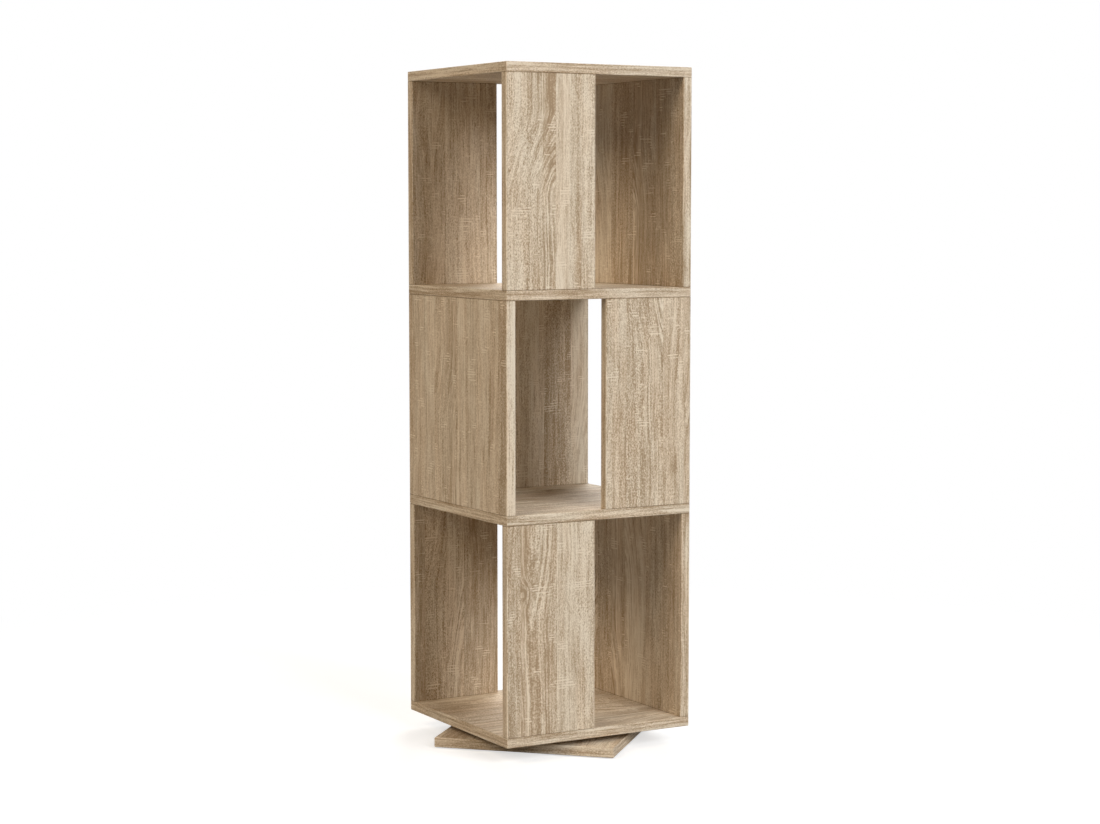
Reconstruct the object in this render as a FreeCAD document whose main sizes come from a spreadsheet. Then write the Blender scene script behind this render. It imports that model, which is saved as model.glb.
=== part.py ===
"""Revolving bookcase: a tower of three open cubes that turns on a small base plate.

Frame: millimetres, +Z up, origin on the floor under the turning axis. The tower's sides are
parallel to X and Y. Each tier has one full-width side panel and two half-width panels, and each
tier is the one below turned by half a turn. The base plate stands turned under the tower, with a
ball-bearing turntable between the two.
"""
import FreeCAD, Part
import math
import os

import Sketcher

V = FreeCAD.Vector

# name: (value, what it measures)
SIZES = {
    # boards and panels
    "board_side": (340, "side of the four square boards"),
    "board_thick": (16, "thickness of the boards"),
    "panel_thick": (16, "thickness of the upright panels"),
    "panel_height": (336, "clear height of a tier"),
    "half_width": (160, "width of a half panel"),
    "edge_radius": (1.5, "rounding of the banded edges"),
    # base plate and glides
    "base_side": (300, "side of the base plate"),
    "base_thick": (16, "thickness of the base plate"),
    "base_turn": (45, "angle of the base plate under the tower, degrees"),
    "glide_radius": (10, "radius of a glide's pad"),
    "glide_thick": (2, "height of a glide's pad"),
    "glide_chamfer": (0.5, "chamfer round a glide's pad"),
    "glide_inset": (28, "from the base plate's edge to a glide's axis"),
    "nail_radius": (1.5, "radius of a glide's nail"),
    "nail_length": (10, "length of a glide's nail"),
    # turntable plates
    "race_float": (0.45, "from the foot of a race to the board behind it"),
    "bearing_side": (150, "side of the two bearing plates"),
    "bearing_corner": (8, "corner radius of the bearing plates"),
    "bearing_sheet": (1.5, "thickness of the pressed sheet"),
    "race_radius": (52, "radius of the circle of balls"),
    "race_land": (5, "from the circle of balls to the edge of a race's shoulder"),
    "race_foot": (2, "half width of the flat under a race"),
    "race_shoulder": (1.5, "from the level of the ball centres to a shoulder"),
    "press_slope": (4, "radial run of a pressed step"),
    "press_gap": (0.8, "gap between the two plates' inner flats"),
    # balls and cage
    "ball_radius": (3, "radius of a bearing ball"),
    "ball_count": (24, "number of bearing balls"),
    "ball_clear": (0.05, "between a ball and its races or cage"),
    "cage_thick": (1.2, "thickness of the ball cage"),
    "cage_margin": (1.5, "width of the cage beside a ball"),
    # eyelet that holds the turntable together
    "eyelet_radius": (12, "outer radius of the eyelet's barrel"),
    "eyelet_wall": (1.2, "wall of the eyelet"),
    "eyelet_flange": (6, "width of the eyelet's flanges beyond the barrel"),
    "eyelet_clear": (0.08, "running clearance of the plates on the eyelet"),
    # pan-head screws of the turntable
    "wood_screw_inset": (15, "from a bearing plate's edges to its screws"),
    "wood_screw_radius": (2, "radius of a turntable screw"),
    "wood_screw_length": (12, "length of a turntable screw under its head"),
    "wood_screw_tip": (3, "length of a turntable screw's point"),
    "wood_head_radius": (4, "radius of a turntable screw's head"),
    "wood_head_rim": (0.8, "height of the rim of a turntable screw's head"),
    "wood_head_height": (2.4, "height of a turntable screw's head"),
    "access_radius": (8, "radius of the driver hole through the base plate"),
    # confirmat screws
    "confirmat_length": (50, "length of a confirmat screw"),
    "confirmat_head": (5, "radius of a confirmat screw's head"),
    "confirmat_rim": (1, "height of the rim of a confirmat screw's head"),
    "confirmat_head_height": (3, "height of a confirmat screw's head"),
    "confirmat_collar": (3.5, "radius of a confirmat screw's collar"),
    "confirmat_collar_end": (13, "from the top of the head to the collar's end"),
    "confirmat_thread": (3, "radius of a confirmat screw's threaded part"),
    "confirmat_tip": (2, "length of a confirmat screw's point"),
    "socket_flats": (4, "across the flats of a confirmat screw's socket"),
    "socket_depth": (3, "depth of a confirmat screw's socket"),
    # dowels and cover caps
    "dowel_radius": (4, "radius of a dowel"),
    "dowel_length": (30, "length of a dowel"),
    "dowel_chamfer": (1, "chamfer at a dowel's ends"),
    "dowel_skin": (5, "thickness of board left over a dowel"),
    "cap_radius": (6.5, "radius of a cover cap"),
    "cap_thick": (0.8, "thickness of a cover cap, and depth of the recess it fills"),
    "cap_chamfer": (0.4, "chamfer round a cover cap"),
    "cap_peg": (1.8, "radius of a cover cap's peg"),
    "cap_peg_length": (2.2, "length of a cover cap's peg"),
    # places of the fasteners along the panels
    "side_screw_inset": (50, "from a full panel's edges to its screws"),
    "side_dowel_inset": (110, "from a full panel's edges to its dowels"),
    "half_screw_inset": (32, "from a half panel's edges to its screws"),
    # clearances
    "hole_clear": (0.1, "radial clearance of a fastener in its hole"),
    "hole_extra": (1, "depth of a hole beyond its fastener"),
    "overshoot": (1, "reach of a cutter past the face it opens"),
}

TIERS = ("bottom", "middle", "top")
BOARDS = ("bottom_board", "lower_shelf", "upper_shelf", "top_board")
UP = FreeCAD.Rotation(V(1, 0, 0), 180)
DOWN = FreeCAD.Rotation()


class Dim:
    """A length as a number and as the expression on the sheet that gives it."""

    def __init__(self, number, text):
        self.number = number
        self.text = text

    def __add__(self, other):
        other = as_dim(other)
        return Dim(self.number + other.number, f"({self.text} + {other.text})")

    def __sub__(self, other):
        other = as_dim(other)
        return Dim(self.number - other.number, f"({self.text} - {other.text})")

    def __mul__(self, factor):
        return Dim(self.number * factor, f"({self.text} * {factor})")

    def __truediv__(self, factor):
        return Dim(self.number / factor, f"({self.text} / {factor})")

    def __neg__(self):
        return self * -1


def as_dim(value):
    return value if isinstance(value, Dim) else Dim(float(value), str(value))


ZERO = as_dim(0)


class Sheet:
    """The document's spreadsheet of driving dimensions. Each alias reads as a Dim."""

    def __init__(self, doc):
        self.cells = doc.addObject("Spreadsheet::Sheet", "Sizes")
        for row, (name, (value, meaning)) in enumerate(SIZES.items(), start=1):
            self.cells.set(f"A{row}", str(value))
            self.cells.setAlias(f"A{row}", name)
            self.cells.set(f"B{row}", meaning)
        doc.recompute()

    def __getattr__(self, name):
        return Dim(float(getattr(self.cells, name)), f"Sizes.{name}")


# ---- sketches and features ---------------------------------------------------------------------

def new_body(doc, name):
    return doc.addObject("PartDesign::Body", name)


def new_sketch(body, name, role):
    """A sketch on one of the body's own origin planes."""
    sketch = body.newObject("Sketcher::SketchObject", name)
    plane = next(part for part in body.Origin.OriginFeatures if part.Role == role)
    sketch.AttachmentSupport = [(plane, "")]
    sketch.MapMode = "FlatFace"
    return sketch


def bind(sketch, length, kind, *places):
    """Add a dimension to a sketch and tie it to the sheet."""
    index = sketch.addConstraint(Sketcher.Constraint(kind, *places, length.number))
    sketch.setExpression(f"Constraints[{index}]", length.text)


def place_point(sketch, item, point, x, y):
    """Tie a point to its distances from the sketch's two axes."""
    for length, kind, axis in ((x, "DistanceX", -2), (y, "DistanceY", -1)):
        if length is ZERO:
            sketch.addConstraint(Sketcher.Constraint("PointOnObject", item, point, axis))
        elif length.number > 0:
            bind(sketch, length, kind, -1, 1, item, point)
        else:
            bind(sketch, -length, kind, item, point, -1, 1)


def draw_polygon(sketch, points):
    """Draw a closed outline through points given as pairs of Dims."""
    corners = [V(x.number, y.number, 0) for x, y in points]
    first = sketch.GeometryCount
    for start, end in zip(corners, corners[1:] + corners[:1]):
        sketch.addGeometry(Part.LineSegment(start, end), False)
    last = len(points) - 1
    for index, (x, y) in enumerate(points):
        following = 0 if index == last else index + 1
        link = Sketcher.Constraint("Coincident", first + index, 2, first + following, 1)
        sketch.addConstraint(link)
        place_point(sketch, first + index, 1, x, y)


def draw_circle(sketch, x, y, radius):
    centre = V(x.number, y.number, 0)
    item = sketch.addGeometry(Part.Circle(centre, V(0, 0, 1), radius.number), False)
    bind(sketch, radius, "Radius", item)
    place_point(sketch, item, 3, x, y)


def rectangle(width, depth):
    """Corners of a rectangle centred on the origin."""
    x, y = width / 2, depth / 2
    return [(-x, -y), (x, -y), (x, y), (-x, y)]


def pad(body, name, sketch, length):
    feature = body.newObject("PartDesign::Pad", name)
    feature.Profile = sketch
    feature.setExpression("Length", length.text)
    return feature


def pocket_through(body, name, sketch):
    """Cut a sketch right through the body, both ways from its plane."""
    feature = body.newObject("PartDesign::Pocket", name)
    feature.Profile = sketch
    feature.Type = "ThroughAll"
    feature.Midplane = True
    return feature


def revolve(body, name, points):
    """Turn an outline in the XZ plane about the Z axis."""
    sketch = new_sketch(body, f"{name}Outline", "XZ_Plane")
    draw_polygon(sketch, points)
    feature = body.newObject("PartDesign::Revolution", name)
    feature.Profile = sketch
    feature.ReferenceAxis = (sketch, ["V_Axis"])
    feature.Angle = 360
    return feature


def round_edges(doc, body, name, base, radius, upright_only=False):
    """Fillet all edges of a plate, or only its upright ones."""
    doc.recompute()
    feature = body.newObject("PartDesign::Fillet", name)
    picked = []
    for number, edge in enumerate(base.Shape.Edges, start=1):
        direction = edge.tangentAt(edge.FirstParameter)
        if not upright_only or abs(direction.z) > 0.99:
            picked.append(f"Edge{number}")
    feature.Base = (base, picked)
    feature.setExpression("Radius", radius.text)
    return feature


def lift(item, x=None, y=None, z=None):
    """Tie an object's place to the sheet."""
    for axis, length in (("x", x), ("y", y), ("z", z)):
        if length is not None:
            item.setExpression(f"Placement.Base.{axis}", length.text)


# ---- copies of fasteners and of the cutters for their holes -------------------------------------

def copies(doc, name, master, places, z, turn=DOWN):
    """Linked copies of a master at (x, y) places and one level, as one compound."""
    links = []
    for x, y in places:
        link = doc.addObject("App::Link", f"{name}Copy")
        link.LinkedObject = master
        link.Placement = FreeCAD.Placement(V(), turn)
        lift(link, x, y, z)
        links.append(link)
    return compound(doc, name, links)


def compound(doc, name, members):
    group = doc.addObject("Part::Compound", name)
    group.Links = members
    return group


def drilled(doc, label, blank, holes):
    """A blank with its holes cut, which is the finished sub-part."""
    cut = doc.addObject("Part::Cut", f"{label}_drilled")
    cut.Base = blank
    cut.Tool = holes[0] if len(holes) == 1 else compound(doc, f"{label}_holes", holes)
    cut.Label = label
    return cut


def confirmat_master(doc, s):
    """Confirmat screw: the top of its head at the origin, its point down."""
    body = new_body(doc, "ConfirmatMaster")
    revolve(body, "ConfirmatTurned", [
        (ZERO, ZERO), (s.confirmat_head, ZERO), (s.confirmat_head, -s.confirmat_rim),
        (s.confirmat_collar, -s.confirmat_head_height),
        (s.confirmat_collar, -s.confirmat_collar_end),
        (s.confirmat_thread, -s.confirmat_collar_end),
        (s.confirmat_thread, -(s.confirmat_length - s.confirmat_tip)),
        (ZERO, -s.confirmat_length)])
    doc.recompute()
    sketch = new_sketch(body, "SocketOutline", "XY_Plane")
    flat, corner = s.socket_flats / 2, s.socket_flats / math.sqrt(3)
    draw_polygon(sketch, [(corner, ZERO), (corner / 2, flat), (-corner / 2, flat),
                          (-corner, ZERO), (-corner / 2, -flat), (corner / 2, -flat)])
    socket = body.newObject("PartDesign::Pocket", "Socket")
    socket.Profile = sketch
    socket.setExpression("Length", s.socket_depth.text)
    return body


def confirmat_hole(doc, s, capped):
    """The stepped hole for a confirmat screw, with a recess for the cap where it has one."""
    name = "CappedHole" if capped else "ConfirmatHole"
    body = new_body(doc, name)
    head, collar = s.confirmat_head + s.hole_clear, s.confirmat_collar + s.hole_clear
    thread, end = s.confirmat_thread + s.hole_clear, s.confirmat_length + s.hole_extra
    mouth = [(ZERO, s.overshoot), (head, s.overshoot)]
    if capped:
        recess, rim = s.cap_radius + s.hole_clear, s.cap_thick + s.overshoot
        mouth = [(ZERO, rim), (recess, rim), (recess, ZERO), (head, ZERO)]
    revolve(body, f"{name}Turned", mouth + [
        (head, -s.confirmat_rim), (collar, -s.confirmat_head_height),
        (collar, -(s.confirmat_collar_end + s.hole_extra)),
        (thread, -(s.confirmat_collar_end + s.hole_extra)), (thread, -end), (ZERO, -end)])
    return body


def dowel_master(doc, s):
    """Wooden dowel: the joint's face at the origin, its longer end down in the panel."""
    body = new_body(doc, "DowelMaster")
    top = s.board_thick - s.dowel_skin
    bottom = top - s.dowel_length
    end = s.dowel_radius - s.dowel_chamfer
    revolve(body, "DowelTurned", [
        (ZERO, top), (end, top), (s.dowel_radius, top - s.dowel_chamfer),
        (s.dowel_radius, bottom + s.dowel_chamfer), (end, bottom), (ZERO, bottom)])
    return body


def dowel_hole(doc, s):
    body = new_body(doc, "DowelHole")
    top = s.board_thick - s.dowel_skin + s.hole_extra
    bottom = top - s.dowel_length - s.hole_extra * 2
    radius = s.dowel_radius + s.hole_clear
    revolve(body, "DowelHoleTurned", [(ZERO, top), (radius, top), (radius, bottom), (ZERO, bottom)])
    return body


def cap_master(doc, s):
    """Cover cap: the top of the screw's head at the origin, its peg down in the socket."""
    body = new_body(doc, "CapMaster")
    revolve(body, "CapTurned", [
        (ZERO, s.cap_thick), (s.cap_radius - s.cap_chamfer, s.cap_thick),
        (s.cap_radius, s.cap_thick - s.cap_chamfer), (s.cap_radius, ZERO), (s.cap_peg, ZERO),
        (s.cap_peg, -s.cap_peg_length), (ZERO, -s.cap_peg_length)])
    return body


def wood_screw_master(doc, s):
    """Pan-head wood screw: the underside of its head at the origin, its point down."""
    body = new_body(doc, "WoodScrewMaster")
    revolve(body, "WoodScrewTurned", [
        (ZERO, s.wood_head_height), (s.wood_head_radius / 2, s.wood_head_height),
        (s.wood_head_radius, s.wood_head_rim), (s.wood_head_radius, ZERO),
        (s.wood_screw_radius, ZERO),
        (s.wood_screw_radius, -(s.wood_screw_length - s.wood_screw_tip)),
        (ZERO, -s.wood_screw_length)])
    return body


def wood_screw_hole(doc, s):
    body = new_body(doc, "WoodScrewHole")
    radius, end = s.wood_screw_radius + s.hole_clear, -(s.wood_screw_length + s.hole_extra)
    revolve(body, "WoodScrewHoleTurned", [
        (ZERO, s.overshoot), (radius, s.overshoot), (radius, end), (ZERO, end)])
    return body


def glide_master(doc, s):
    """Nail-in glide: the floor at the origin, its nail up."""
    body = new_body(doc, "GlideMaster")
    top = s.glide_thick + s.nail_length
    revolve(body, "GlideTurned", [
        (ZERO, ZERO), (s.glide_radius - s.glide_chamfer, ZERO),
        (s.glide_radius, s.glide_chamfer), (s.glide_radius, s.glide_thick),
        (s.nail_radius, s.glide_thick), (s.nail_radius, top - s.nail_radius), (ZERO, top)])
    return body


def nail_hole(doc, s):
    body = new_body(doc, "NailHole")
    radius, top = s.nail_radius + s.hole_clear, s.glide_thick + s.nail_length + s.hole_extra
    low = s.glide_thick - s.overshoot
    revolve(body, "NailHoleTurned", [(ZERO, low), (radius, low), (radius, top), (ZERO, top)])
    return body


# ---- levels and places --------------------------------------------------------------------------

def base_top(s):
    return s.glide_thick + s.base_thick


def ball_level(s):
    """Height of the ball centres over the base plate, which is half the turntable's height."""
    return s.race_float + s.bearing_sheet + s.ball_clear + s.ball_radius


def board_bottom(s, level):
    """Underside of a board, counted from 0 for the bottom board."""
    return base_top(s) + ball_level(s) * 2 + (s.board_thick + s.panel_height) * level


def board_top(s, level):
    return board_bottom(s, level) + s.board_thick


def panel_line(s):
    """Distance from the axis to the middle of a panel's thickness."""
    return (s.board_side - s.panel_thick) / 2


def side_of(tier):
    """+1 where a tier's full panel is on +X, and -1 where it is on -X."""
    return -1 if tier == 1 else 1


def screw_places(s, tier):
    """Where the screws at either end of a tier's panels stand."""
    side, line = side_of(tier), panel_line(s)
    outer = s.board_side / 2 - s.half_screw_inset
    inner = s.board_side / 2 - s.half_width + s.half_screw_inset
    places = [(line * side, (s.board_side / 2 - s.side_screw_inset) * end) for end in (-1, 1)]
    places += [(along * -side, line * face) for face in (-1, 1) for along in (outer, inner)]
    return places


def dowel_places(s, tier):
    """Where the dowels at either end of a tier's panels stand."""
    side, line = side_of(tier), panel_line(s)
    middle = (s.board_side - s.half_width) / 2
    places = [(line * side, (s.board_side / 2 - s.side_dowel_inset) * end) for end in (-1, 1)]
    places += [(middle * -side, line * face) for face in (-1, 1)]
    return places


def corner_places(side, inset):
    """The four corners of a square, moved in by inset."""
    reach = side / 2 - inset
    return [(reach * x, reach * y) for x in (-1, 1) for y in (-1, 1)]


# ---- the tower ----------------------------------------------------------------------------------

def blank(doc, s, name, width, depth, height, upright_only):
    """A plate centred on the axis, with rounded edges, before it is drilled."""
    body = new_body(doc, name)
    sketch = new_sketch(body, f"{name}Outline", "XY_Plane")
    draw_polygon(sketch, rectangle(width, depth))
    plate = pad(body, f"{name}Plate", sketch, height)
    round_edges(doc, body, f"{name}Edges", plate, s.edge_radius, upright_only)
    return body


class Joints:
    """The fasteners and holes at the twelve ends where panels meet boards."""

    def __init__(self, doc, s):
        self.doc, self.s = doc, s
        self.screw = confirmat_master(doc, s)
        self.screw_holes = {capped: confirmat_hole(doc, s, capped) for capped in (True, False)}
        self.dowel, self.dowel_hole = dowel_master(doc, s), dowel_hole(doc, s)
        self.cap = cap_master(doc, s)
        self.screws, self.dowels = {name: [] for name in BOARDS}, {name: [] for name in BOARDS}
        self.caps = {name: [] for name in BOARDS}
        self.holes = {}
        for tier in range(len(TIERS)):
            self.join(tier, tier, board_bottom(s, tier), board_top(s, tier), UP)
            self.join(tier, tier + 1, board_top(s, tier + 1), board_bottom(s, tier + 1), DOWN)

    def join(self, tier, level, outside, face, turn):
        """Fasten one end of a tier's panels through a board, from its outside face."""
        doc, board = self.doc, BOARDS[level]
        name = f"{TIERS[tier]}_{board}"
        screws, dowels = screw_places(self.s, tier), dowel_places(self.s, tier)
        capped, head = level > 0, outside
        if capped:
            head = outside + self.s.cap_thick if turn is UP else outside - self.s.cap_thick
            self.caps[board].append(copies(doc, f"{name}_c", self.cap, screws, head, turn))
        self.screws[board].append(copies(doc, f"{name}_s", self.screw, screws, head, turn))
        self.dowels[board].append(copies(doc, f"{name}_d", self.dowel, dowels, face, turn))
        self.holes[tier, level] = compound(doc, f"{name}_h", [
            copies(doc, f"{name}_sh", self.screw_holes[capped], screws, head, turn),
            copies(doc, f"{name}_dh", self.dowel_hole, dowels, face, turn)])

    def at_board(self, level):
        """Holes in a board, for the panels under it and over it."""
        return [self.holes[tier, level] for tier in (level - 1, level) if (tier, level) in self.holes]

    def at_panel(self, tier):
        """Holes in both ends of a tier's panels."""
        return [self.holes[tier, tier], self.holes[tier, tier + 1]]

    def groups(self):
        """The fasteners of each board as one sub-part of each kind."""
        found = []
        for kind, groups in (("screws", self.screws), ("dowels", self.dowels), ("caps", self.caps)):
            for board in BOARDS:
                if groups[board]:
                    found.append(compound(self.doc, f"{board}_{kind}", groups[board]))
        return found


def boards(doc, s, joints, bearing_holes):
    """The four square boards. The bottom one also takes the turntable's screws."""
    made = []
    for level, label in enumerate(BOARDS):
        plate = blank(doc, s, f"{label}_blank", s.board_side, s.board_side, s.board_thick, False)
        lift(plate, z=board_bottom(s, level))
        holes = joints.at_board(level) + ([bearing_holes] if level == 0 else [])
        made.append(drilled(doc, label, plate, holes))
    return made


def panels(doc, s, joints):
    """Each tier's full side panel and its two half panels, flush with the boards."""
    made = []
    for tier, word in enumerate(TIERS):
        side, line, bottom = side_of(tier), panel_line(s), board_top(s, tier)
        label = f"{word}_side_panel"
        full = blank(doc, s, f"{label}_blank", s.panel_thick, s.board_side, s.panel_height, True)
        lift(full, line * side, ZERO, bottom)
        made.append(drilled(doc, label, full, joints.at_panel(tier)))
        for face, where in ((-1, "front"), (1, "rear")):
            label = f"{word}_{where}_panel"
            half = blank(doc, s, f"{label}_blank", s.half_width, s.panel_thick,
                         s.panel_height, True)
            lift(half, (s.board_side - s.half_width) / 2 * -side, line * face, bottom)
            made.append(drilled(doc, label, half, joints.at_panel(tier)))
    return made


# ---- the turntable ------------------------------------------------------------------------------

def pressed_plate(doc, s, name):
    """A square bearing plate with its race pressed up round the eyelet hole."""
    body = new_body(doc, name)
    sketch = new_sketch(body, f"{name}Outline", "XY_Plane")
    draw_polygon(sketch, rectangle(s.bearing_side, s.bearing_side))
    sheet = pad(body, f"{name}Sheet", sketch, s.bearing_sheet)
    round_edges(doc, body, f"{name}Corners", sheet, s.bearing_corner, upright_only=True)
    outer, inner = s.race_radius + s.race_land, s.race_radius - s.race_land
    rim, flat = outer + s.press_slope, inner - s.press_slope
    opening = new_sketch(body, f"{name}Opening", "XY_Plane")
    draw_circle(opening, ZERO, ZERO, rim)
    pocket_through(body, f"{name}Opened", opening)
    level, foot = ball_level(s), s.race_float
    shoulder, inner_top = level - s.race_shoulder, level - s.press_gap / 2
    under, inner_under = shoulder - s.bearing_sheet, inner_top - s.bearing_sheet
    bulge = s.race_foot + under - foot
    hole = s.eyelet_radius + s.eyelet_clear
    revolve(body, f"{name}Pressed", [
        (rim, ZERO), (outer, under), (s.race_radius + bulge, under),
        (s.race_radius + s.race_foot, foot), (s.race_radius - s.race_foot, foot),
        (s.race_radius - bulge, under), (inner, under), (flat, inner_under),
        (hole, inner_under), (hole, inner_top), (flat, inner_top), (inner, shoulder),
        (outer, shoulder), (rim, s.bearing_sheet)])
    race = new_sketch(body, f"{name}RaceOutline", "XZ_Plane")
    draw_circle(race, s.race_radius, level, s.ball_radius + s.ball_clear)
    groove = body.newObject("PartDesign::Groove", f"{name}Race")
    groove.Profile = race
    groove.ReferenceAxis = (race, ["V_Axis"])
    groove.Angle = 360
    return body


def eyelet(doc, s):
    """Hollow rivet, clinched to the lower plate, that keeps the upper plate from lifting."""
    body = new_body(doc, "bearing_eyelet")
    level, wall = ball_level(s), s.eyelet_wall
    low = level - s.press_gap / 2 - s.bearing_sheet
    high = level + s.press_gap / 2 + s.bearing_sheet + s.eyelet_clear
    bore, edge = s.eyelet_radius - wall, s.eyelet_radius + s.eyelet_flange
    revolve(body, "EyeletTurned", [
        (bore, low - wall), (edge, low - wall), (edge, low), (s.eyelet_radius, low),
        (s.eyelet_radius, high), (edge, high), (edge, high + wall), (bore, high + wall)])
    lift(body, z=base_top(s))
    return body


def ball_places(s):
    count = int(s.ball_count.number)
    angles = [2 * math.pi * index / count for index in range(count)]
    return [(s.race_radius * math.cos(angle), s.race_radius * math.sin(angle)) for angle in angles]


def ball_ring(doc, s):
    """The balls, and the flat cage that spaces them, between the two races."""
    ball = doc.addObject("Part::Sphere", "BallMaster")
    ball.setExpression("Radius", s.ball_radius.text)
    level = base_top(s) + ball_level(s)
    balls = copies(doc, "bearing_balls", ball, ball_places(s), level)
    half = s.ball_radius + s.cage_margin
    ring = new_body(doc, "CageBlank")
    sketch = new_sketch(ring, "CageOutline", "XY_Plane")
    draw_circle(sketch, ZERO, ZERO, s.race_radius + half)
    draw_circle(sketch, ZERO, ZERO, s.race_radius - half)
    pad(ring, "CageRing", sketch, s.cage_thick)
    lift(ring, z=level - s.cage_thick / 2)
    pocket = doc.addObject("Part::Cylinder", "CagePocket")
    pocket.setExpression("Radius", (s.ball_radius + s.ball_clear).text)
    pocket.setExpression("Height", (s.cage_thick + s.overshoot * 2).text)
    start = level - s.cage_thick / 2 - s.overshoot
    pockets = copies(doc, "CagePockets", pocket, ball_places(s), start)
    return [balls, drilled(doc, "bearing_cage", ring, [pockets])]


def turn_base(s, item):
    """Turn a piece of the base to the angle at which the base plate stands."""
    item.Placement = FreeCAD.Placement(V(), FreeCAD.Rotation(V(0, 0, 1), s.base_turn.number))
    item.setExpression("Placement.Rotation.Angle", s.base_turn.text)


def turntable(doc, s):
    """Both bearing plates, their screws, and the holes that the screws need in the boards."""
    screw, hole = wood_screw_master(doc, s), wood_screw_hole(doc, s)
    places = corner_places(s.bearing_side, s.wood_screw_inset)
    bottom, top = base_top(s), board_bottom(s, 0)
    lower_head, upper_head = bottom + s.bearing_sheet, top - s.bearing_sheet
    lower_holes = copies(doc, "LowerScrewHoles", hole, places, lower_head)
    upper_holes = copies(doc, "UpperScrewHoles", hole, places, upper_head, UP)
    lower_blank = pressed_plate(doc, s, "LowerPlateBlank")
    lift(lower_blank, z=bottom)
    upper_blank = pressed_plate(doc, s, "UpperPlateBlank")
    upper_blank.Placement = FreeCAD.Placement(V(), UP)
    lift(upper_blank, z=top)
    lower = drilled(doc, "bearing_lower_plate", lower_blank, [lower_holes])
    upper = drilled(doc, "bearing_upper_plate", upper_blank, [upper_holes])
    lower_screws = copies(doc, "bearing_lower_screws", screw, places, lower_head)
    upper_screws = copies(doc, "bearing_upper_screws", screw, places, upper_head, UP)
    for item in (lower, lower_screws):
        turn_base(s, item)
    made = [lower, upper, lower_screws, upper_screws, eyelet(doc, s)] + ball_ring(doc, s)
    return made, lower_holes, upper_holes


# ---- the base -----------------------------------------------------------------------------------

def base(doc, s, bearing_holes):
    """The base plate with its glides, and the driver hole for the upper plate's screws."""
    plate = blank(doc, s, "BasePlateBlank", s.base_side, s.base_side, s.base_thick, False)
    lift(plate, z=s.glide_thick)
    feet = corner_places(s.base_side, s.glide_inset)
    glides = copies(doc, "floor_glides", glide_master(doc, s), feet, ZERO)
    nails = copies(doc, "NailHoles", nail_hole(doc, s), feet, ZERO)
    access = doc.addObject("Part::Cylinder", "DriverHole")
    access.setExpression("Radius", s.access_radius.text)
    access.setExpression("Height", (s.base_thick + s.overshoot * 2).text)
    reach = (s.bearing_side / 2 - s.wood_screw_inset) * math.sqrt(2)
    lift(access, x=reach, z=s.glide_thick - s.overshoot)
    finished = drilled(doc, "base_plate", plate, [bearing_holes, nails, access])
    for item in (finished, glides):
        turn_base(s, item)
    return [finished, glides]


# ---- build, check and write ---------------------------------------------------------------------

def check(doc, sub_parts):
    """Stop if any object failed or any sub-part is empty or invalid."""
    failed = [item.Name for item in doc.Objects if {"Invalid", "Error"} & set(item.State)]
    if failed:
        raise RuntimeError(f"objects that failed: {failed}")
    for item in sub_parts:
        if item.Shape.isNull() or not item.Shape.Solids or not item.Shape.isValid():
            raise RuntimeError(f"{item.Label} has no valid solid")


def write(sub_parts):
    os.makedirs("parts", exist_ok=True)
    for item in sub_parts:
        item.Shape.exportStep(f"parts/{item.Label}.step")


def main():
    doc = FreeCAD.newDocument("RevolvingBookcase")
    s = Sheet(doc)
    bearing, lower_holes, upper_holes = turntable(doc, s)
    joints = Joints(doc, s)
    sub_parts = bearing + base(doc, s, lower_holes)
    sub_parts += boards(doc, s, joints, upper_holes) + panels(doc, s, joints)
    sub_parts += joints.groups()
    doc.recompute()
    check(doc, sub_parts)
    write(sub_parts)
    for item in sub_parts:
        box = item.Shape.BoundBox
        print(f"{item.Label}: {len(item.Shape.Solids)} solids,"
              f" {box.XLength:.1f} x {box.YLength:.1f} x {box.ZLength:.1f},"
              f" z {box.ZMin:.2f} to {box.ZMax:.2f}")


main()
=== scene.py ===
"""Finishes, floor, light and camera for a revolving bookcase.

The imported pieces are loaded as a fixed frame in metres. Each board and panel gets a print of
rough-sawn oak laid out in planks, with edge bands and a chipboard core, and each metal and plastic
piece gets a finish of its own.
"""

import math
import random
from typing import NamedTuple, Optional

import bpy
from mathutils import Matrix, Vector


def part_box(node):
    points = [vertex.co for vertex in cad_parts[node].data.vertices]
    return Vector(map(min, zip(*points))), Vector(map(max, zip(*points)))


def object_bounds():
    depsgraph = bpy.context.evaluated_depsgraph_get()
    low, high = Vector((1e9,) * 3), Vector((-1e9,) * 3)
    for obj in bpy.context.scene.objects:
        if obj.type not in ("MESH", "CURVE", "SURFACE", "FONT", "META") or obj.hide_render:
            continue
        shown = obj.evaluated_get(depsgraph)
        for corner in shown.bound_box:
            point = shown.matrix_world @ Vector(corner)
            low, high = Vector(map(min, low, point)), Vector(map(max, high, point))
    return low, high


bl_info = {
    "name": "Revolving bookcase finishes",
    "version": (1, 0, 0),
    "blender": (4, 5, 0),
    "location": "3D View > Sidebar > Bookcase",
    "description": "Rough-sawn oak decor, hardware finishes and a studio for a revolving bookcase",
    "category": "Material",
}

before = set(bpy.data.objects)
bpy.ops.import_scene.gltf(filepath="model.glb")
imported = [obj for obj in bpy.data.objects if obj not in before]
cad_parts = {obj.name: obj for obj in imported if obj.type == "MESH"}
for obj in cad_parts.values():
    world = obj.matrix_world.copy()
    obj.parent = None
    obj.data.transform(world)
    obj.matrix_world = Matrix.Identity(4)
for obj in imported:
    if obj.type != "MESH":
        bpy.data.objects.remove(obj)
CAD_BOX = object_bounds()

BOARDS = ("bottom_board", "lower_shelf", "upper_shelf", "top_board")
TIERS = ("bottom", "middle", "top")
MM = 1000


# ---- the printed planks -------------------------------------------------------------------------

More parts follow.
